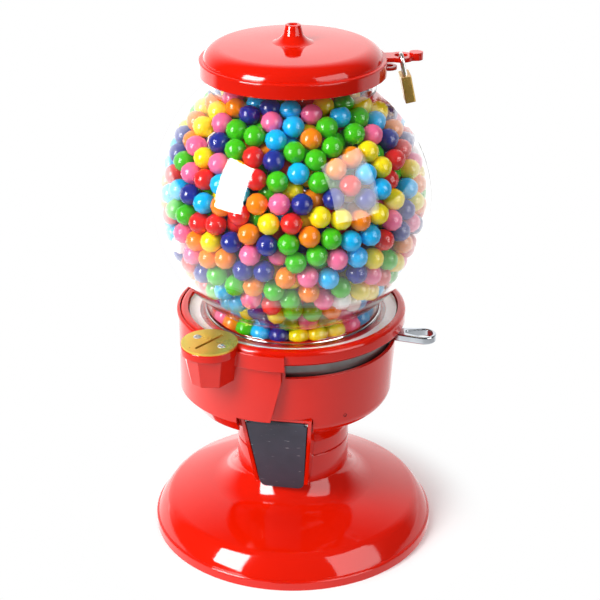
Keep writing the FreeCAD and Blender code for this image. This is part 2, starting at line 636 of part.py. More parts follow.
def lever_rivets():
    """Two shouldered rivets that hold the lever's tang under the wheel's plate."""
    high = number("drum_top - wheel_gap")
    under = high - number("wheel_sheet")
    top = number(f"lever_height + lever_thickness / 2")
    low = top - number("lever_thickness")
    wire = number("rivet_radius")
    solids = []
    for place in RIVETS:
        reach = number(place)
        shank = Part.makeCylinder(wire, high - low, Vector(reach, 0, low))
        head = Part.makeCylinder(1.7 * wire, 0.8 * wire, Vector(reach, 0, low - 0.8 * wire))
        shoulder = Part.makeCylinder(1.5 * wire, under - top, Vector(reach, 0, top))
        solids.append(shank.fuse([head, shoulder]).removeSplitter())
    rivets = doc.addObject("Part::Feature", "lever_rivets")
    rivets.Label = "lever_rivets"
    rivets.Shape = Part.makeCompound(solids)
    return rivets


def wheel_bush():
    """Brass bush on the rod, flanged below, that the wheel turns on and the guard is clamped to."""
    return turned("wheel_bush", [
        ("rod_radius + running_gap", "floor_top"),
        ("hub_radius", "floor_top"),
        ("hub_radius", "floor_top + bush_flange"),
        ("bush_radius", "floor_top + bush_flange"),
        ("bush_radius", "drum_top + seat_gap"),
        ("rod_radius + running_gap", "drum_top + seat_gap"),
    ])


def ball_guard():
    """Sheet arm fixed to the rod that keeps other gumballs off the drop hole."""
    body = new_body("ball_guard")
    face = plane_sketch(body, "guard_face", "XY_Plane", "drum_top + seat_gap")
    outline(face, [
        ("-hub_radius", "0"), ("-guard_radius", "-drop_radius * 0.8", "1.02 * guard_radius"),
        ("guard_radius", "-drop_radius * 0.8"), ("hub_radius", "0", "1.02 * hub_radius"),
    ])
    pad(body, "guard_pad", face, "guard_thickness")
    hole = plane_sketch(body, "guard_hole", "XY_Plane", "drum_top + seat_gap + guard_thickness + 1")
    ring(hole, "0", "0", "rod_radius + running_gap")
    pocket(body, "guard_hole_cut", hole)
    return body


def coin_housing():
    """Cast cover of the coin way: an off-centre shroud on the drum's left, its lobe, and the coin box."""
    shroud = new_body("shroud")
    revolve(shroud, "shroud_shell", [
        ("shroud_foot_radius", "shroud_foot"),
        ("shroud_radius - 0.8", "shroud_low"),
        ("shroud_radius", "drum_top"),
        ("shroud_radius - 2 * shroud_wall", "drum_top"),
        ("shroud_radius - 2 * shroud_wall", "drum_top - shroud_wall"),
        ("shroud_radius - shroud_wall", "drum_top - 2 * shroud_wall"),
        ("shroud_radius - 0.8 - shroud_wall", "shroud_low + 1"),
        ("shroud_foot_radius - 1", "shroud_foot + shroud_wall"),
    ], turn="shroud_middle", angle="shroud_span")
    shroud.setExpression("Placement.Base.x", cells("-shroud_shift"))
    lobe = new_body("lobe")
    revolve(lobe, "lobe_shell", [
        ("shroud_radius - 3 * shroud_wall", "drum_top - 1"),
        ("shroud_radius", "drum_top - 1"),
        ("shroud_radius", "drum_top + lobe_height - 2", "2"),
        ("shroud_radius - 2", "drum_top + lobe_height"),
        ("shroud_radius - 3 * shroud_wall", "drum_top + lobe_height"),
    ], turn="shroud_middle - (shroud_span - lobe_span) / 2 + 2", angle="lobe_span")
    lobe.setExpression("Placement.Base.x", cells("-shroud_shift"))
    collar = new_body("collar")
    revolve(collar, "collar_shell", box_points("shroud_radius - shroud_wall / 2", "drum_top - 3",
                                               "ring_radius + collar_wall", "drum_top + collar_height"),
            turn="(coin_angle + collar_last) / 2", angle="collar_last - coin_angle")
    box = new_body("coin_box_body")
    plate_low = "drum_top + ring_height + 0.4"
    sections = []
    levels = [("box_foot", "coin_box_low", "0.72"), ("box_head", f"{plate_low} - coin_box_rim", "0.92")]
    for name, height, size in levels:
        section = plane_sketch(box, name, "XY_Plane", height)
        reach = f"{size} * coin_rim"
        outline(section, [
            ("-coin_rim", f"-{reach}"), (f"0.45 * {reach}", f"-{reach}"), (reach, f"-0.3 * {reach}"),
            (reach, f"0.3 * {reach}"), (f"0.45 * {reach}", reach), ("-coin_rim", reach),
        ])
        sections.append(section)
    loft = box.newObject("PartDesign::AdditiveLoft", "box_loft")
    loft.Profile = sections[0]
    loft.Sections = [sections[1]]
    loft.Ruled = True
    rim = plane_sketch(box, "box_rim", "XY_Plane", f"{plate_low} - coin_box_rim")
    ring(rim, "0", "0", "coin_rim + 0.4")
    pad(box, "box_rim_pad", rim, "coin_box_rim")
    holes = plane_sketch(box, "box_screw_holes", "XY_Plane", f"{plate_low} + 1")
    for side in ("-1", "1"):
        ring(holes, "0", f"{side} * coin_screw_spacing / 2", "1.5 + running_gap")
    pocket(box, "box_screw_cut", holes, "8")
    place_at(box, "coin_radius", "coin_angle")
    whole = doc.addObject("Part::MultiFuse", "housing_whole")
    whole.Shapes = [shroud, lobe, collar, box]
    room = doc.addObject("Part::Cylinder", "ring_room")
    room.setExpression("Radius", cells("ring_radius + seat_gap"))
    room.setExpression("Height", cells("2 * ring_height"))
    room.setExpression("Placement.Base.z", cells("drum_top - 0.1"))
    drum_room = doc.addObject("Part::Cone", "drum_room")
    drum_room.setExpression("Radius1", cells("drum_low_radius + seat_gap"))
    drum_room.setExpression("Radius2", cells("drum_top_radius + seat_gap"))
    drum_room.setExpression("Height", cells("drum_top - drum_low"))
    drum_room.setExpression("Placement.Base.z", cells("drum_low"))
    channel = new_body("coin_channel_room")
    way = plane_sketch(channel, "coin_channel_face", "XY_Plane", "drum_top - 12")
    coin_way(way, "coin_radius - coin_slot_length / 2 + 1", "coin_radius + coin_slot_length / 2")
    pad(channel, "coin_channel_pad", way, "40")
    lower = plane_sketch(channel, "coin_lower_face", "XY_Plane", "drum_low + 4")
    coin_way(lower, "drum_low_radius", "shroud_radius - shroud_wall + 1")
    pad(channel, "coin_lower_pad", lower, "drum_top - drum_low - 10")
    edge = new_body("shroud_edge_room")
    side = plane_sketch(edge, "shroud_edge_face", "XZ_Plane")
    outline(side, [
        ("shroud_edge_top", "drum_top + 1"), ("shroud_edge_foot", "chute_top + 1"),
        ("-chute_half_top - 1", "chute_top + 1"), ("-chute_half_top - 1", "shroud_foot - 1"),
        ("3 * shroud_radius", "shroud_foot - 1"), ("3 * shroud_radius", "drum_top + 1"),
    ])
    pad(edge, "shroud_edge_pad", side, "2 * shroud_radius")
    rooms = doc.addObject("Part::MultiFuse", "housing_rooms")
    rooms.Shapes = [room, drum_room, channel, edge]
    housing = doc.addObject("Part::Cut", "coin_housing")
    housing.Label = "coin_housing"
    housing.Base = whole
    housing.Tool = rooms
    return housing


def coin_plate():
    """Brass plate on the coin box, with the coin's slot along the radius and two screw holes."""
    low = "drum_top + ring_height + 0.4"
    body = new_body("coin_plate")
    disc = plane_sketch(body, "plate_face", "XY_Plane", low)
    ring(disc, "0", "0", "coin_rim")
    pad(body, "plate_pad", disc, "coin_plate_thickness")
    slot = plane_sketch(body, "coin_slot_face", "XY_Plane", f"{low} + coin_plate_thickness + 1")
    outline(slot, box_points("-coin_slot_length / 2", "-coin_slot_width / 2",
                             "coin_slot_length / 2", "coin_slot_width / 2"))
    for side in ("-1", "1"):
        ring(slot, "0", f"{side} * coin_screw_spacing / 2", "1.5 + running_gap")
    pocket(body, "coin_slot_cut", slot)
    place_at(body, "coin_radius", "coin_angle")
    return body


def coin_plate_screws():
    """Two round-headed screws that hold the coin plate down."""
    high = number("drum_top + ring_height + 0.4 + coin_plate_thickness")
    solids = []
    for side in (-1, 1):
        spot = Vector(0, side * number("coin_screw_spacing") / 2, high)
        head = Part.makeSphere(3.6, spot - Vector(0, 0, 2.2), Vector(0, 0, 1), 0, 90, 360)
        head = head.common(Part.makeCylinder(2.9, 3, spot))
        shank = Part.makeCylinder(1.5, 8.5, spot - Vector(0, 0, 8.5))
        slit = Part.makeBox(6, 0.7, 1, spot + Vector(-3, -0.35, 0.8))
        solids.append(head.fuse(shank).cut(slit).removeSplitter())
    screws = doc.addObject("Part::Feature", "coin_plate_screws")
    screws.Label = "coin_plate_screws"
    screws.Shape = Part.makeCompound(solids)
    place_at(screws, "coin_radius", "coin_angle")
    return screws


SLANT = "(chute_front - chute_foot_front) / (chute_top - chute_foot)"
HINGE_HEIGHT = "(chute_top - chute_wall - flap_barrel - 1)"
HINGE_FRONT = f"(chute_front - (chute_top - {HINGE_HEIGHT}) * {SLANT} - flap_barrel - 0.3)"


def chute_housing():
    """Cast frame under the drum's front: two tapered cheeks and a top bar that carry the flap's pin."""
    body = new_body("chute_housing")
    side = plane_sketch(body, "chute_side", "YZ_Plane")
    under = "drum_low - 1.2 * drum_edge"
    outline(side, [
        ("-chute_front", "chute_top"), ("-chute_foot_front", "chute_foot"),
        ("-neck_radius / 2", "chute_foot"), ("-neck_radius / 2", under),
        ("-chute_seat", under), ("-chute_seat", "chute_top"),
    ])
    pad(body, "chute_pad", side, "2 * chute_half_top", middle=True)
    taper = plane_sketch(body, "chute_taper", "XZ_Plane")
    for hand in ("-1", "1"):
        corners = [("chute_half_top", "chute_top"), ("chute_half_foot", "chute_foot"),
                   ("chute_half_foot", "chute_foot - 2"), ("chute_half_top + 2", "chute_foot - 2"),
                   ("chute_half_top + 2", "chute_top")]
        outline(taper, [(f"{hand} * ({x})", z) for x, z in corners])
    pocket(body, "chute_taper_cut", taper, upward=True)
    mouth = plane_sketch(body, "chute_mouth", "XZ_Plane")
    top = "chute_half_top - chute_wall"
    foot = "chute_half_foot - chute_wall"
    outline(mouth, [(f"-({top})", "chute_top - chute_wall"), (f"-({foot})", "chute_foot"),
                    (f"-({foot})", "chute_foot - 2"), (foot, "chute_foot - 2"),
                    (foot, "chute_foot"), (top, "chute_top - chute_wall")])
    pocket(body, "chute_mouth_cut", mouth, upward=True)
    room = plane_sketch(body, "neck_room", "XZ_Plane")
    outline(room, [
        ("0", "chute_foot - 2"), ("neck_radius + seat_gap", "chute_foot - 2"),
        ("neck_radius + seat_gap", "collar_top"), ("flare_radius + seat_gap", "flare_top - seat_gap"),
        ("drum_low_radius - 0.9 * drum_edge + seat_gap", "drum_low - 1.1 * drum_edge - seat_gap"),
        ("drum_low_radius - 0.9 * drum_edge + seat_gap", "drum_low - drum_edge"),
        ("0", "drum_low - drum_edge"),
    ])
    groove = body.newObject("PartDesign::Groove", "neck_room_cut")
    groove.Profile = room
    groove.ReferenceAxis = (room, ["V_Axis"])
    groove.Angle = 360
    bore = plane_sketch(body, "pin_bore", "YZ_Plane")
    ring(bore, f"-{HINGE_FRONT}", HINGE_HEIGHT, "pin_radius + running_gap")
    pocket(body, "pin_bore_cut", bore, "3 * chute_half_top", middle=True)
    return body


def flap():
    """Steel flap that swings on its pin: a tapered plate with round lower corners and a rolled barrel."""
    body = new_body("flap")
    barrel = plane_sketch(body, "barrel_face", "YZ_Plane")
    ring(barrel, "0", "0", "flap_barrel")
    pad(body, "barrel_pad", barrel, "2 * flap_half_top - 4", middle=True)
    face = plane_sketch(body, "flap_face", "XZ_Plane", "flap_barrel - flap_thickness")
    outline(face, [("-flap_half_top", "0.5"), ("-flap_half_foot", "-flap_length"),
                   ("flap_half_foot", "-flap_length"), ("flap_half_top", "0.5")])
    pad(body, "flap_pad", face, "flap_thickness")
    low = number("-flap_length")
    round_edges(body, "flap_corners", "flap_corner",
                lambda box: box.ZMax < low + 0.1 and box.XLength < 0.1)
    bore = plane_sketch(body, "barrel_bore", "YZ_Plane")
    ring(bore, "0", "0", "pin_radius + running_gap")
    pocket(body, "barrel_bore_cut", bore, "3 * flap_half_top", middle=True)
    lean = math.degrees(math.atan(number(SLANT)))
    body.Placement = Placement(Vector(0, -number(HINGE_FRONT), number(HINGE_HEIGHT)),
                               Rotation(Vector(1, 0, 0), lean))
    return body


def flap_pin():
    """Pin through the two cheeks and the flap's barrel."""
    pin = doc.addObject("Part::Cylinder", "flap_pin")
    pin.Label = "flap_pin"
    pin.setExpression("Radius", cells("pin_radius"))
    pin.setExpression("Height", cells("2 * chute_half_top - 2"))
    half = number("chute_half_top - 1")
    pin.Placement = Placement(Vector(-half, -number(HINGE_FRONT), number(HINGE_HEIGHT)),
                              Rotation(Vector(0, 1, 0), 90))
    return pin


def chute_ramp():
    """Bent sheet under the drop hole that turns a falling gumball towards the flap."""
    body = new_body("chute_ramp")
    side = plane_sketch(body, "ramp_side", "YZ_Plane")
    back = "(drop_radius - drop_hole - 1)"
    floor = "(floor_top - floor_thickness)"
    lip = "(chute_seat - 2)"
    outline(side, [
        (f"-{back} + ramp_sheet", floor), (f"-{back} + ramp_sheet", f"{floor} - 23"),
        (f"-{lip}", "chute_top - 9.8"), (f"-{lip}", "chute_top - 8"),
        (f"-{back}", f"{floor} - 22.2"), (f"-{back}", floor),
    ])
    pad(body, "ramp_pad", side, "2 * ramp_half", middle=True)
    return body


def return_spring():
    """Coil round the wheel's hub that brings the lever back."""
    body = new_body("return_spring")
    section = plane_sketch(body, "spring_section", "XZ_Plane")
    ring(section, "spring_radius", "floor_top + seat_gap + 1.25 * spring_wire", "spring_wire")
    coil = body.newObject("PartDesign::AdditiveHelix", "spring_coil")
    coil.Profile = section
    coil.ReferenceAxis = (section, ["V_Axis"])
    coil.Mode = "pitch-turns-angle"
    coil.setExpression("Pitch", cells("spring_pitch"))
    coil.Turns = 4.0
    return body


PARTS = [
    base(), bottom_cover(), thumb_nut(), center_rod(), hex_nut("hub_nut", "floor_top - hub_length - 6", "6"),
    drum(), drum_floor(), globe_ring(), globe_gasket(), globe(), gumballs(), lid_gasket(), lid(), neck_band(),
    *padlock_pieces(), wheel(), lever(), lever_rivets(), wheel_bush(), ball_guard(),
    hex_nut("guard_nut", "drum_top + seat_gap + guard_thickness", "6"),
    coin_housing(), coin_plate(), coin_plate_screws(), chute_housing(), flap(), flap_pin(), chute_ramp(),
    return_spring(),
]
doc.recompute()

failed = [item.Label for item in doc.Objects if "Invalid" in item.State or "Error" in item.State]
if failed:
    raise RuntimeError(f"these did not build: {failed}")
for part in PARTS:
    if part.Shape.isNull() or not part.Shape.isValid():
        raise RuntimeError(f"{part.Label} has no valid shape")
    if not part.Shape.Solids:
        raise RuntimeError(f"{part.Label} holds no solid")

os.makedirs("parts", exist_ok=True)
for part in PARTS:
    part.Shape.exportStep(f"parts/{part.Label}.step")
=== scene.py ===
import math

import bpy
import numpy as np
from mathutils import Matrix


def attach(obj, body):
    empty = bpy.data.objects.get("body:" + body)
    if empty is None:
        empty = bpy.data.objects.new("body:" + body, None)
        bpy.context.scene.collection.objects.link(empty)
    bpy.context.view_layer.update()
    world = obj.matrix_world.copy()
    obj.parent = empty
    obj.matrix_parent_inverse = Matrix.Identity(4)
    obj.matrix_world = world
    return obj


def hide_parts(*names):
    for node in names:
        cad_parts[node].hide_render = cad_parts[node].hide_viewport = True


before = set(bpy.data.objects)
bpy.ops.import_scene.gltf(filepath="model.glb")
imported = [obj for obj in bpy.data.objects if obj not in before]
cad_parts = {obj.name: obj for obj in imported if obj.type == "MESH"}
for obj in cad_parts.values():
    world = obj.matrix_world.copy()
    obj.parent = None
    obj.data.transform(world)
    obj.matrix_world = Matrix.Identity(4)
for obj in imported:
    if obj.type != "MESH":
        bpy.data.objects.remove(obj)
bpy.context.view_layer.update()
bpy.ops.object.select_all(action="DESELECT")

# Red castings: pedestal, drum, globe ring, coin housing, chute frame, lid and the band with its keeper.
# Each is a zinc or iron casting under a thick coat of stove enamel that rounds the edges,
# with a faint waviness from the casting and slightly darker patches in the coat.

ENAMEL = (0.70, 0.009, 0.0005)
ENAMEL_DEEP = (0.60, 0.006, 0.0003)
ENAMEL_ROUNDING = 0.0009


def new_finish(name):
    """A material with its nodes, its links and its Principled shader."""
    finish = bpy.data.materials.new(name)
    finish.use_nodes = True
    nodes = finish.node_tree.nodes
    return finish, nodes, finish.node_tree.links, nodes["Principled BSDF"]


def dress(finish, *names):
    """Puts a finish on carried-over CAD nodes."""
    for name in names:
        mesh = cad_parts[name].data
        mesh.materials.clear()
        mesh.materials.append(finish)


def calculate(nodes, operation, first=None, second=None):
    """A math node; a value given here stays on its socket."""
    node = nodes.new("ShaderNodeMath")
    node.operation = operation
    for socket, value in zip(node.inputs, (first, second)):
        if value is not None:
            socket.default_value = value
    return node


def ramp(nodes, low, high, start=0.0, end=1.0, smooth=False):
    """A node that takes values from low to high over to start to end."""
    node = nodes.new("ShaderNodeMapRange")
    if smooth:
        node.interpolation_type = "SMOOTHSTEP"
    for label, value in (("From Min", low), ("From Max", high), ("To Min", start), ("To Max", end)):
        node.inputs[label].default_value = value
    return node


def mix_colors(nodes, second=None):
    """A colour mix node, with its second colour where that is plain."""
    node = nodes.new("ShaderNodeMix")
    node.data_type = "RGBA"
    if second is not None:
        node.inputs["B"].default_value = (*second, 1)
    return node


def new_group(name, inputs, outputs):
    """An empty shader node group with named sockets."""
    group = bpy.data.node_groups.new(name, "ShaderNodeTree")
    for label, kind, value in inputs:
        socket = group.interface.new_socket(label, in_out="INPUT", socket_type=kind)
        socket.default_value = value
    for label, kind in outputs:
        group.interface.new_socket(label, in_out="OUTPUT", socket_type=kind)
    return group, group.nodes.new("NodeGroupInput"), group.nodes.new("NodeGroupOutput")


surface_group, group_in, group_out = new_group(
    "surface_variation",
    [
        ("Color", "NodeSocketColor", (1, 1, 1, 1)), ("Second Color", "NodeSocketColor", (0.5, 0.5, 0.5, 1)),
        ("Patch Scale", "NodeSocketFloat", 30.0), ("Grain Scale", "NodeSocketFloat", 600.0),
        ("Amount", "NodeSocketFloat", 0.3), ("Roughness", "NodeSocketFloat", 0.3),
        ("Roughness Change", "NodeSocketFloat", 0.1),
    ],
    [("Color", "NodeSocketColor"), ("Roughness", "NodeSocketFloat"), ("Height", "NodeSocketFloat")],
)
place = surface_group.nodes.new("ShaderNodeTexCoord")
patches = surface_group.nodes.new("ShaderNodeTexNoise")
patches.inputs["Detail"].default_value = 3.0
grain = surface_group.nodes.new("ShaderNodeTexNoise")
grain.inputs["Detail"].default_value = 2.0
spread = ramp(surface_group.nodes, 0.35, 0.7)
weigh = calculate(surface_group.nodes, "MULTIPLY")
tint = mix_colors(surface_group.nodes)
rough = calculate(surface_group.nodes, "MULTIPLY_ADD")
link = surface_group.links.new
link(place.outputs["Object"], patches.inputs["Vector"])
link(place.outputs["Object"], grain.inputs["Vector"])
link(group_in.outputs["Patch Scale"], patches.inputs["Scale"])
link(group_in.outputs["Grain Scale"], grain.inputs["Scale"])
link(patches.outputs["Fac"], spread.inputs["Value"])
link(spread.outputs["Result"], weigh.inputs[0])
link(group_in.outputs["Amount"], weigh.inputs[1])
link(weigh.outputs[0], tint.inputs["Factor"])
link(group_in.outputs["Color"], tint.inputs["A"])
link(group_in.outputs["Second Color"], tint.inputs["B"])
link(tint.outputs["Result"], group_out.inputs["Color"])
link(spread.outputs["Result"], rough.inputs[0])
link(group_in.outputs["Roughness Change"], rough.inputs[1])
link(group_in.outputs["Roughness"], rough.inputs[2])
link(rough.outputs[0], group_out.inputs["Roughness"])
link(grain.outputs["Fac"], group_out.inputs["Height"])


def vary(nodes, links, shader, color, second, patch, grain, amount, roughness, change, bump, depth):
    """Feeds a shader from the shared surface variation, with its own colours, scales and bump."""
    varied = nodes.new("ShaderNodeGroup")
    varied.node_tree = surface_group
    values = {
        "Color": (*color, 1), "Second Color": (*second, 1), "Patch Scale": patch, "Grain Scale": grain,
        "Amount": amount, "Roughness": roughness, "Roughness Change": change,
    }
    for label, value in values.items():
        varied.inputs[label].default_value = value
    raised = nodes.new("ShaderNodeBump")
    raised.inputs["Strength"].default_value = bump
    raised.inputs["Distance"].default_value = depth
    links.new(varied.outputs["Color"], shader.inputs["Base Color"])
    links.new(varied.outputs["Roughness"], shader.inputs["Roughness"])
    links.new(varied.outputs["Height"], raised.inputs["Height"])
    links.new(raised.outputs["Normal"], shader.inputs["Normal"])
    return varied, raised


enamel, nodes, links, shader = new_finish("red_stove_enamel")
_, raised = vary(
    nodes, links, shader, color=ENAMEL, second=ENAMEL_DEEP, patch=18.0, grain=130.0,
    amount=0.5, roughness=0.06, change=0.04, bump=0.05, depth=0.0006,
)
shader.inputs["Specular IOR Level"].default_value = 0.42
soft_edge = nodes.new("ShaderNodeBevel")
soft_edge.inputs["Radius"].default_value = ENAMEL_ROUNDING
links.new(soft_edge.outputs["Normal"], raised.inputs["Normal"])
dress(enamel, "base", "drum", "globe_ring", "coin_housing", "chute_housing", "lid", "neck_band")

# Set screw: the small headless screw low on the drum's right wall.
# Steel under the drum's enamel, turned in until only its rim and socket show.

SCREW_TURN = math.radians(-49.7)
SCREW_REACH = 0.0717
SCREW_HEIGHT = 0.1189
SCREW_RADIUS = 0.0012
SCREW_LENGTH = 0.0016
SOCKET_RIM = 0.0005
SOCKET_DEPTH = 0.0006
bpy.ops.mesh.primitive_cylinder_add(
    vertices=20, radius=SCREW_RADIUS, depth=SCREW_LENGTH,
    location=(SCREW_REACH * math.cos(SCREW_TURN), SCREW_REACH * math.sin(SCREW_TURN), SCREW_HEIGHT),
    rotation=(0.0, math.radians(90.0), SCREW_TURN),
)
set_screw = bpy.context.object
set_screw.name = "drum_set_screw"
bpy.ops.object.mode_set(mode="EDIT")
bpy.ops.mesh.select_mode(type="FACE")
bpy.ops.mesh.select_all(action="DESELECT")
bpy.ops.object.mode_set(mode="OBJECT")
for face in set_screw.data.polygons:
    face.select = face.normal.z > 0.9
bpy.ops.object.mode_set(mode="EDIT")
bpy.ops.mesh.inset(thickness=SOCKET_RIM)
bpy.ops.transform.translate(
    value=(-SOCKET_DEPTH * math.cos(SCREW_TURN), -SOCKET_DEPTH * math.sin(SCREW_TURN), 0.0),
)
bpy.ops.object.mode_set(mode="OBJECT")
bpy.ops.object.transform_apply(location=True, rotation=True, scale=True)
painted_over, nodes, links, shader = new_finish("painted_screw_steel")
vary(
    nodes, links, shader, color=(0.06, 0.002, 0.002), second=(0.03, 0.001, 0.001), patch=300.0, grain=2000.0,
    amount=0.5, roughness=0.5, change=0.1, bump=0.1, depth=0.0001,
)
shader.inputs["Specular IOR Level"].default_value = 0.1
set_screw.data.materials.append(painted_over)
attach(set_screw, "stand")
bpy.ops.object.select_all(action="DESELECT")

# Bank cover, rod, nuts and the sheet and wire pieces inside the drum: what clamps and guides the rest.
# Zinc-plated sheet and bar, dulled with handling.

plated, nodes, links, shader = new_finish("dull_zinc_plate")
vary(
    nodes, links, shader, color=(0.46, 0.46, 0.45), second=(0.30, 0.30, 0.29), patch=60.0, grain=900.0,
    amount=0.7, roughness=0.36, change=0.18, bump=0.25, depth=0.0003,
)
shader.inputs["Metallic"].default_value = 1.0
dress(plated, "bottom_cover", "thumb_nut", "center_rod", "hub_nut", "guard_nut", "ball_guard")
dress(plated, "chute_ramp", "return_spring", "drum_floor", "lever_rivets")

# Gaskets: the two soft rings that seat the globe in its ring and the lid on the globe's mouth.
# Milky vinyl sheet, cut with a die, matte, seen through the globe's clear foot.

vinyl, nodes, links, shader = new_finish("milky_sheet_vinyl")
vary(
    nodes, links, shader, color=(0.94, 0.86, 0.86), second=(0.86, 0.74, 0.74), patch=80.0, grain=1200.0,
    amount=0.5, roughness=0.5, change=0.15, bump=0.2, depth=0.0003,
)
dress(vinyl, "globe_gasket", "lid_gasket")

# Wheel: the pressed steel wheel whose deep rim shows as a dark band in the lever's slot.
# Steel gone grey on the rim; its plate, under the globe, has the castings' red.

PAINT_LOW = 0.1636
PAINT_HIGH = 0.1646
wheel_steel, nodes, links, shader = new_finish("worn_wheel_steel")
varied, _ = vary(
    nodes, links, shader, color=(0.24, 0.23, 0.23), second=(0.12, 0.11, 0.11), patch=45.0, grain=1500.0,
    amount=0.8, roughness=0.26, change=0.2, bump=0.2, depth=0.0002,
)
place = nodes.new("ShaderNodeTexCoord")
axes = nodes.new("ShaderNodeSeparateXYZ")
topside = ramp(nodes, PAINT_LOW, PAINT_HIGH)
painted = mix_colors(nodes, (0.70, 0.02, 0.002))
bare = calculate(nodes, "SUBTRACT", first=1.0)
links.new(place.outputs["Object"], axes.inputs[0])
links.new(axes.outputs["Z"], topside.inputs["Value"])
links.new(topside.outputs["Result"], painted.inputs["Factor"])
links.new(varied.outputs["Color"], painted.inputs["A"])
links.new(painted.outputs["Result"], shader.inputs["Base Color"])
links.new(topside.outputs["Result"], bare.inputs[1])
links.new(bare.outputs[0], shader.inputs["Metallic"])
dress(wheel_steel, "wheel")

# Lever: the finger loop at the right, a cast teardrop under bright plating.
# It is riveted under the wheel's plate and polished again by every hand that pulls it.

chrome, nodes, links, shader = new_finish("bright_plating")
vary(
    nodes, links, shader, color=(0.50, 0.53, 0.57), second=(0.36, 0.38, 0.41), patch=120.0, grain=2000.0,
    amount=0.5, roughness=0.10, change=0.1, bump=0.08, depth=0.0002,
)
shader.inputs["Metallic"].default_value = 1.0
dress(chrome, "lever")

# Brass pieces: the coin plate, the padlock's case and plug, and the bush that the wheel turns on.
# Rolled brass under old lacquer, browner on the padlock, with darker patches where nothing rubs it.

brass, nodes, links, shader = new_finish("rubbed_brass")
vary(
    nodes, links, shader, color=(0.82, 0.62, 0.11), second=(0.62, 0.45, 0.06), patch=60.0, grain=1400.0,
    amount=0.5, roughness=0.24, change=0.14, bump=0.15, depth=0.0002,
)
shader.inputs["Metallic"].default_value = 0.75
dress(brass, "coin_plate", "wheel_bush")
aged_brass, nodes, links, shader = new_finish("aged_brass")
vary(
    nodes, links, shader, color=(0.60, 0.39, 0.09), second=(0.40, 0.24, 0.05), patch=90.0, grain=1400.0,
    amount=0.6, roughness=0.24, change=0.14, bump=0.2, depth=0.0002,
)
shader.inputs["Metallic"].default_value = 0.55
dress(aged_brass, "padlock_case", "padlock_plug")

# Bright steel: the padlock's hardened shackle, the coin plate's screws and the flap's pin.
# Turned or drawn steel under nickel, smooth and cool in colour.

nickel, nodes, links, shader = new_finish("nickelled_steel")
vary(
    nodes, links, shader, color=(0.80, 0.79, 0.77), second=(0.60, 0.59, 0.57), patch=150.0, grain=1800.0,
    amount=0.5, roughness=0.26, change=0.14, bump=0.1, depth=0.0002,
)
shader.inputs["Metallic"].default_value = 1.0
dress(nickel, "padlock_shackle", "coin_plate_screws", "flap_pin")

# Flap: the steel door of the chute, hung on its pin.
# Rolled sheet, blued dark, with light scuffs where gumballs and fingers have pushed it open.

flap_steel, nodes, links, shader = new_finish("scuffed_flap_steel")
varied, _ = vary(
    nodes, links, shader, color=(0.040, 0.053, 0.076), second=(0.029, 0.038, 0.056), patch=40.0, grain=1600.0,
    amount=0.8, roughness=0.40, change=0.16, bump=0.2, depth=0.0002,
)
shader.inputs["Specular IOR Level"].default_value = 0.3
place = nodes.new("ShaderNodeTexCoord")
squeeze = nodes.new("ShaderNodeMapping")
squeeze.inputs["Rotation"].default_value = (0.0, 0.9, 0.0)
squeeze.inputs["Scale"].default_value = (150.0, 60.0, 700.0)
scratch = nodes.new("ShaderNodeTexNoise")
scratch.inputs["Scale"].default_value = 1.0
scratch.inputs["Detail"].default_value = 4.0
keep = ramp(nodes, 0.68, 0.80)
scuffed = mix_colors(nodes, (0.42, 0.43, 0.45))
links.new(place.outputs["Object"], squeeze.inputs["Vector"])
links.new(squeeze.outputs["Vector"], scratch.inputs["Vector"])
links.new(scratch.outputs["Fac"], keep.inputs["Value"])
links.new(keep.outputs["Result"], scuffed.inputs["Factor"])
links.new(varied.outputs["Color"], scuffed.inputs["A"])
links.new(scuffed.outputs["Result"], shader.inputs["Base Color"])
dress(flap_steel, "flap")

# Globe: one clear moulding, foot flange, sphere and open mouth.
# Blown clear plastic about three millimetres thick, polished, with the faintest ripple.
# Light from the lamps passes it unbent, so that the gumballs inside are lit as if it were open.

clear, nodes, links, shader = new_finish("clear_globe_plastic")
shader.inputs["Base Color"].default_value = (1.0, 1.0, 1.0, 1)
shader.inputs["Roughness"].default_value = 0.015
shader.inputs["IOR"].default_value = 1.45
shader.inputs["Transmission Weight"].default_value = 1.0
place = nodes.new("ShaderNodeTexCoord")
ripple = nodes.new("ShaderNodeTexNoise")
ripple.inputs["Scale"].default_value = 14.0
swell = nodes.new("ShaderNodeBump")
swell.inputs["Strength"].default_value = 0.02
swell.inputs["Distance"].default_value = 0.002
links.new(place.outputs["Object"], ripple.inputs["Vector"])
links.new(ripple.outputs["Fac"], swell.inputs["Height"])
links.new(swell.outputs["Normal"], shader.inputs["Normal"])
rays = nodes.new("ShaderNodeLightPath")
unseen = calculate(nodes, "MAXIMUM")
passing = nodes.new("ShaderNodeBsdfTransparent")
mixed = nodes.new("ShaderNodeMixShader")
links.new(rays.outputs["Is Shadow Ray"], unseen.inputs[0])
links.new(rays.outputs["Is Diffuse Ray"], unseen.inputs[1])
links.new(unseen.outputs[0], mixed.inputs["Fac"])
links.new(shader.outputs["BSDF"], mixed.inputs[1])
links.new(passing.outputs["BSDF"], mixed.inputs[2])
links.new(mixed.outputs["Shader"], nodes["Material Output"].inputs["Surface"])
dress(clear, "globe")

# Gumballs: the load, hundreds of hollow sugar-shelled balls in plain mixed colours.
# They are poured in through the mouth and settle against the globe, so the outer layers are shown
# ball by ball: a seeded heap is pushed apart step by step, and some neighbours stay pressed together.

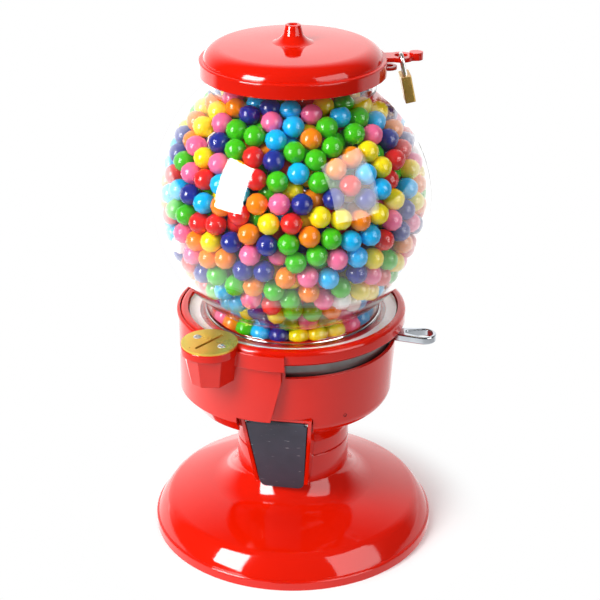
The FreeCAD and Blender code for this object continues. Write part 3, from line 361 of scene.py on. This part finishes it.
BALL = 0.0074
BALL_COUNT = 780
GLOBE_MIDDLE = np.array([0.0, 0.0, 0.260])
GLOBE_ROOM = 0.0937 - BALL
HEAP_INSIDE = 0.058
POUR_INSIDE = 0.066
THROAT_ROOM = 0.0587 - BALL
THROAT_TOP = GLOBE_MIDDLE[2] - math.sqrt(GLOBE_ROOM ** 2 - THROAT_ROOM ** 2)
HEAP_FLOOR = 0.1682 + BALL
HEAP_TOP = 0.3425 - BALL
THROAT_BALLS = 22
THROAT_SECOND_ROW = 0.012
THROAT_SECOND_SHRINK = 0.98
SETTLE_STEPS = 110
SETTLE_PUSH = 0.32
OUTWARD_DRIFT = 0.004
BALL_COLORS = [
    ("red", (0.80, 0.016, 0.014), 0.14), ("navy", (0.012, 0.024, 0.28), 0.15),
    ("sky", (0.002, 0.50, 0.98), 0.12), ("green", (0.055, 0.55, 0.004), 0.19),
    ("yellow", (1.0, 0.80, 0.001), 0.13), ("orange", (1.0, 0.25, 0.001), 0.12),
    ("pink", (1.0, 0.16, 0.36), 0.13), ("white", (0.94, 0.92, 0.90), 0.02),
]
dice = np.random.default_rng(11)


def settle(points):
    """Keeps the balls inside the globe and its throat, and in the outer layers."""
    away = points - GLOBE_MIDDLE
    reach = np.linalg.norm(away, axis=1, keepdims=True)
    most = np.where(points[:, 2:] > THROAT_TOP, GLOBE_ROOM, 1.0)
    points = GLOBE_MIDDLE + away / reach * np.clip(reach, HEAP_INSIDE, most)
    around = np.linalg.norm(points[:, :2], axis=1)
    tight = (points[:, 2] < THROAT_TOP) & (around > THROAT_ROOM)
    points[tight, :2] *= (THROAT_ROOM / around[tight])[:, None]
    points[:, 2] = np.clip(points[:, 2], HEAP_FLOOR, HEAP_TOP)
    return points


heap = dice.normal(size=(BALL_COUNT, 3))
heap /= np.linalg.norm(heap, axis=1, keepdims=True)
heap = GLOBE_MIDDLE + heap * dice.uniform(POUR_INSIDE, GLOBE_ROOM, size=(BALL_COUNT, 1))
turns = np.arange(THROAT_BALLS) * math.tau / THROAT_BALLS
row = np.stack(
    [THROAT_ROOM * np.cos(turns), THROAT_ROOM * np.sin(turns), np.full(THROAT_BALLS, HEAP_FLOOR)], axis=1,
)
second_row = row * (THROAT_SECOND_SHRINK, THROAT_SECOND_SHRINK, 1.0) + (0, 0, THROAT_SECOND_ROW)
heap = settle(np.concatenate([heap, row, second_row]))
for step in range(SETTLE_STEPS):
    apart = heap[:, None, :] - heap[None, :, :]
    gap = np.sqrt((apart ** 2).sum(axis=2))
    np.fill_diagonal(gap, 1.0)
    push = np.clip(2 * BALL - gap, 0.0, None) / gap
    outward = (heap - GLOBE_MIDDLE) * OUTWARD_DRIFT
    heap = settle(heap + outward + SETTLE_PUSH * (apart * push[:, :, None]).sum(axis=1))

shares = np.array([share for _, _, share in BALL_COLORS])
picked = dice.choice(len(BALL_COLORS), size=len(heap), p=shares / shares.sum())
bpy.ops.mesh.primitive_ico_sphere_add(subdivisions=2, radius=BALL)
pattern = bpy.context.object
corners = np.array([vertex.co for vertex in pattern.data.vertices])
faces = np.array([face.vertices for face in pattern.data.polygons])
for kind, (label, color, _) in enumerate(BALL_COLORS):
    middles = heap[picked == kind]
    all_corners = (corners[None] + middles[:, None]).reshape(-1, 3)
    all_faces = (faces[None] + (np.arange(len(middles)) * len(corners))[:, None, None]).reshape(-1, 3)
    mesh = bpy.data.meshes.new("gumballs_" + label)
    mesh.from_pydata(all_corners.tolist(), [], all_faces.tolist())
    mesh.polygons.foreach_set("use_smooth", [True] * len(mesh.polygons))
    balls = bpy.data.objects.new("gumballs_" + label, mesh)
    bpy.context.scene.collection.objects.link(balls)
    sugar, nodes, links, shader = new_finish("sugar_shell_" + label)
    paler = tuple(min(1.0, 0.85 * level + 0.06) for level in color)
    vary(
        nodes, links, shader, color=color, second=paler, patch=210.0, grain=700.0,
        amount=0.07, roughness=0.08, change=0.08, bump=0.05, depth=0.0003,
    )
    mesh.materials.append(sugar)
    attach(balls, "stand")
    if kind == 0:
        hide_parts("gumballs")
bpy.data.objects.remove(pattern)

# Stage: a plain white paper sweep that keeps the soft shadow round the pedestal and is pure white beyond it.
# In the castings and the globe, and in the fill it throws on them, the paper is a painted glow, not lit:
# brightest to the left, close to the machine and behind it, and dim in front towards the camera.

SHADOW_INNER = 0.100
SHADOW_OUTER = 0.15


def seen_straight(nodes, links, rays):
    """A socket that is 1 for what the camera sees, straight or through the globe, and else 0."""
    unmirrored = calculate(nodes, "LESS_THAN", second=0.5)
    through = calculate(nodes, "MULTIPLY")
    seen = calculate(nodes, "MAXIMUM")
    links.new(rays.outputs["Glossy Depth"], unmirrored.inputs[0])
    links.new(rays.outputs["Is Transmission Ray"], through.inputs[0])
    links.new(unmirrored.outputs[0], through.inputs[1])
    links.new(rays.outputs["Is Camera Ray"], seen.inputs[0])
    links.new(through.outputs[0], seen.inputs[1])
    return seen.outputs[0]


bpy.ops.mesh.primitive_plane_add(size=12.0, location=(0, 0, 0))
floor = bpy.context.object
floor.name = "floor"
paper, nodes, links, shader = new_finish("white_paper_sweep")
shader.inputs["Base Color"].default_value = (0.95, 0.95, 0.95, 1)
shader.inputs["Roughness"].default_value = 0.8
white = nodes.new("ShaderNodeEmission")
# Painted light: rays that bounce off the machine see the paper glow as a painted pool of light.
painted_paper_glow = nodes.new("ShaderNodeEmission")
place = nodes.new("ShaderNodeTexCoord")
axes = nodes.new("ShaderNodeSeparateXYZ")
distance = nodes.new("ShaderNodeVectorMath")
distance.operation = "LENGTH"
fade = ramp(nodes, SHADOW_INNER, SHADOW_OUTER, smooth=True)
seen = seen_straight(nodes, links, nodes.new("ShaderNodeLightPath"))
white_share = calculate(nodes, "MULTIPLY")
near = ramp(nodes, 0.30, 0.65, start=1.0, end=0.10)
behind = ramp(nodes, 0.0, 0.25, end=1.3)
leftward = ramp(nodes, -0.25, 0.10, start=1.8, end=1.0)
brighter = calculate(nodes, "MAXIMUM")
painted_glow_level = calculate(nodes, "MULTIPLY")
straight = nodes.new("ShaderNodeMixShader")
either = nodes.new("ShaderNodeMixShader")
links.new(place.outputs["Object"], distance.inputs[0])
links.new(place.outputs["Object"], axes.inputs[0])
links.new(distance.outputs["Value"], fade.inputs["Value"])
links.new(seen, white_share.inputs[0])
links.new(fade.outputs["Result"], white_share.inputs[1])
links.new(white_share.outputs[0], straight.inputs["Fac"])
links.new(shader.outputs["BSDF"], straight.inputs[1])
links.new(white.outputs["Emission"], straight.inputs[2])
links.new(distance.outputs["Value"], near.inputs["Value"])
links.new(axes.outputs["Y"], behind.inputs["Value"])
links.new(axes.outputs["X"], leftward.inputs["Value"])
links.new(near.outputs["Result"], brighter.inputs[0])
links.new(behind.outputs["Result"], brighter.inputs[1])
links.new(brighter.outputs[0], painted_glow_level.inputs[0])
links.new(leftward.outputs["Result"], painted_glow_level.inputs[1])
links.new(painted_glow_level.outputs[0], painted_paper_glow.inputs["Strength"])
links.new(seen, either.inputs["Fac"])
links.new(painted_paper_glow.outputs["Emission"], either.inputs[1])
links.new(straight.outputs["Shader"], either.inputs[2])
links.new(either.outputs["Shader"], nodes["Material Output"].inputs["Surface"])
floor.data.materials.append(paper)

# Camera: a long lens at the photograph's height, looking down at the chute flap a little from its right.
# Its focal length and its shift are kept in pixels of the photograph's frame.

HEADING = math.radians(10.0)
LOOK_DOWN = math.radians(24.88)
CAMERA_DISTANCE = 1.011
CAMERA_HEIGHT = 0.6476
FRAME_PIXELS = 600.0
FOCAL_PIXELS = 1547.0
SHIFT_PIXELS = 7.0
SENSOR = 36.0
bpy.ops.object.camera_add(
    location=(CAMERA_DISTANCE * math.sin(HEADING), -CAMERA_DISTANCE * math.cos(HEADING), CAMERA_HEIGHT),
    rotation=(math.radians(90.0) - LOOK_DOWN, 0.0, HEADING),
)
camera = bpy.context.object
camera.data.sensor_width = SENSOR
camera.data.lens = SENSOR * FOCAL_PIXELS / FRAME_PIXELS
camera.data.shift_x = SHIFT_PIXELS / FRAME_PIXELS
bpy.context.scene.camera = camera

# Softboxes: two tall ones, one to each side of the camera, the left one much the stronger.
# Each is a pair of lamps: a high one that lights, and a lower one that shows only as the pale pane
# on the globe and the bright streaks on the castings.

for name, turn, lift, away, width, height, watts, lights in (
    ("softbox_left", -52.0, 34.0, 1.50, 0.64, 0.96, 24.0, True),
    ("softbox_left_glare", -52.0, 19.0, 1.49, 0.64, 0.96, 56.0, False),
    ("softbox_right", 52.0, 34.0, 1.50, 1.05, 1.30, 3.0, True),
    ("softbox_right_glare", 52.0, 19.0, 1.49, 1.05, 1.30, 19.0, False),
):
    side = HEADING + math.radians(turn)
    rise = math.radians(lift)
    toward_lamp = np.array(
        [math.sin(side) * math.cos(rise), -math.cos(side) * math.cos(rise), math.sin(rise)],
    )
    bpy.ops.object.light_add(
        type="AREA", location=(GLOBE_MIDDLE + away * toward_lamp).tolist(),
        rotation=(math.radians(90.0) - rise, 0.0, side),
    )
    lamp = bpy.context.object
    lamp.name = name
    lamp.data.shape = "RECTANGLE"
    lamp.data.size = width
    lamp.data.size_y = height
    lamp.data.energy = watts
    lamp.visible_diffuse = lights
    lamp.visible_glossy = not lights
    lamp.visible_transmission = not lights

# Room: white to the eye, and lit softly from above.
# In the castings and the globe it is bright behind the machine and dim behind the camera, so they
# mirror a pale wall at their edges and stay clear and deep in colour in front.

room = bpy.data.worlds.new("white_room")
room.use_nodes = True
bpy.context.scene.world = room
nodes = room.node_tree.nodes
links = room.node_tree.links
mirrored_room = nodes["Background"]
mirrored_room.inputs["Color"].default_value = (1, 1, 1, 1)
bright_room = nodes.new("ShaderNodeBackground")
bright_room.inputs["Color"].default_value = (1, 1, 1, 1)
direction = nodes.new("ShaderNodeTexCoord")
axes = nodes.new("ShaderNodeSeparateXYZ")
to_camera = nodes.new("ShaderNodeVectorMath")
to_camera.operation = "DOT_PRODUCT"
to_camera.inputs[1].default_value = (math.sin(HEADING), -math.cos(HEADING), 0.0)
wall_level = ramp(nodes, -0.9, -0.3, start=1.6, end=0.10, smooth=True)
sky_level = ramp(nodes, -0.1, 0.9, start=0.06, end=0.75)
bright_level = nodes.new("ShaderNodeMix")
bright_level.inputs["B"].default_value = 1.0
rays = nodes.new("ShaderNodeLightPath")
seen = seen_straight(nodes, links, rays)
seen_or_lit = calculate(nodes, "MAXIMUM")
either = nodes.new("ShaderNodeMixShader")
links.new(direction.outputs["Generated"], to_camera.inputs[0])
links.new(direction.outputs["Generated"], axes.inputs[0])
links.new(to_camera.outputs["Value"], wall_level.inputs["Value"])
links.new(wall_level.outputs["Result"], mirrored_room.inputs["Strength"])
links.new(axes.outputs["Z"], sky_level.inputs["Value"])
links.new(seen, bright_level.inputs["Factor"])
links.new(sky_level.outputs["Result"], bright_level.inputs["A"])
links.new(bright_level.outputs["Result"], bright_room.inputs["Strength"])
links.new(seen, seen_or_lit.inputs[0])
links.new(rays.outputs["Is Diffuse Ray"], seen_or_lit.inputs[1])
links.new(seen_or_lit.outputs[0], either.inputs["Fac"])
links.new(mirrored_room.outputs["Background"], either.inputs[1])
links.new(bright_room.outputs["Background"], either.inputs[2])
links.new(either.outputs["Shader"], nodes["World Output"].inputs["Surface"])

bpy.context.scene.view_settings.view_transform = "Standard"
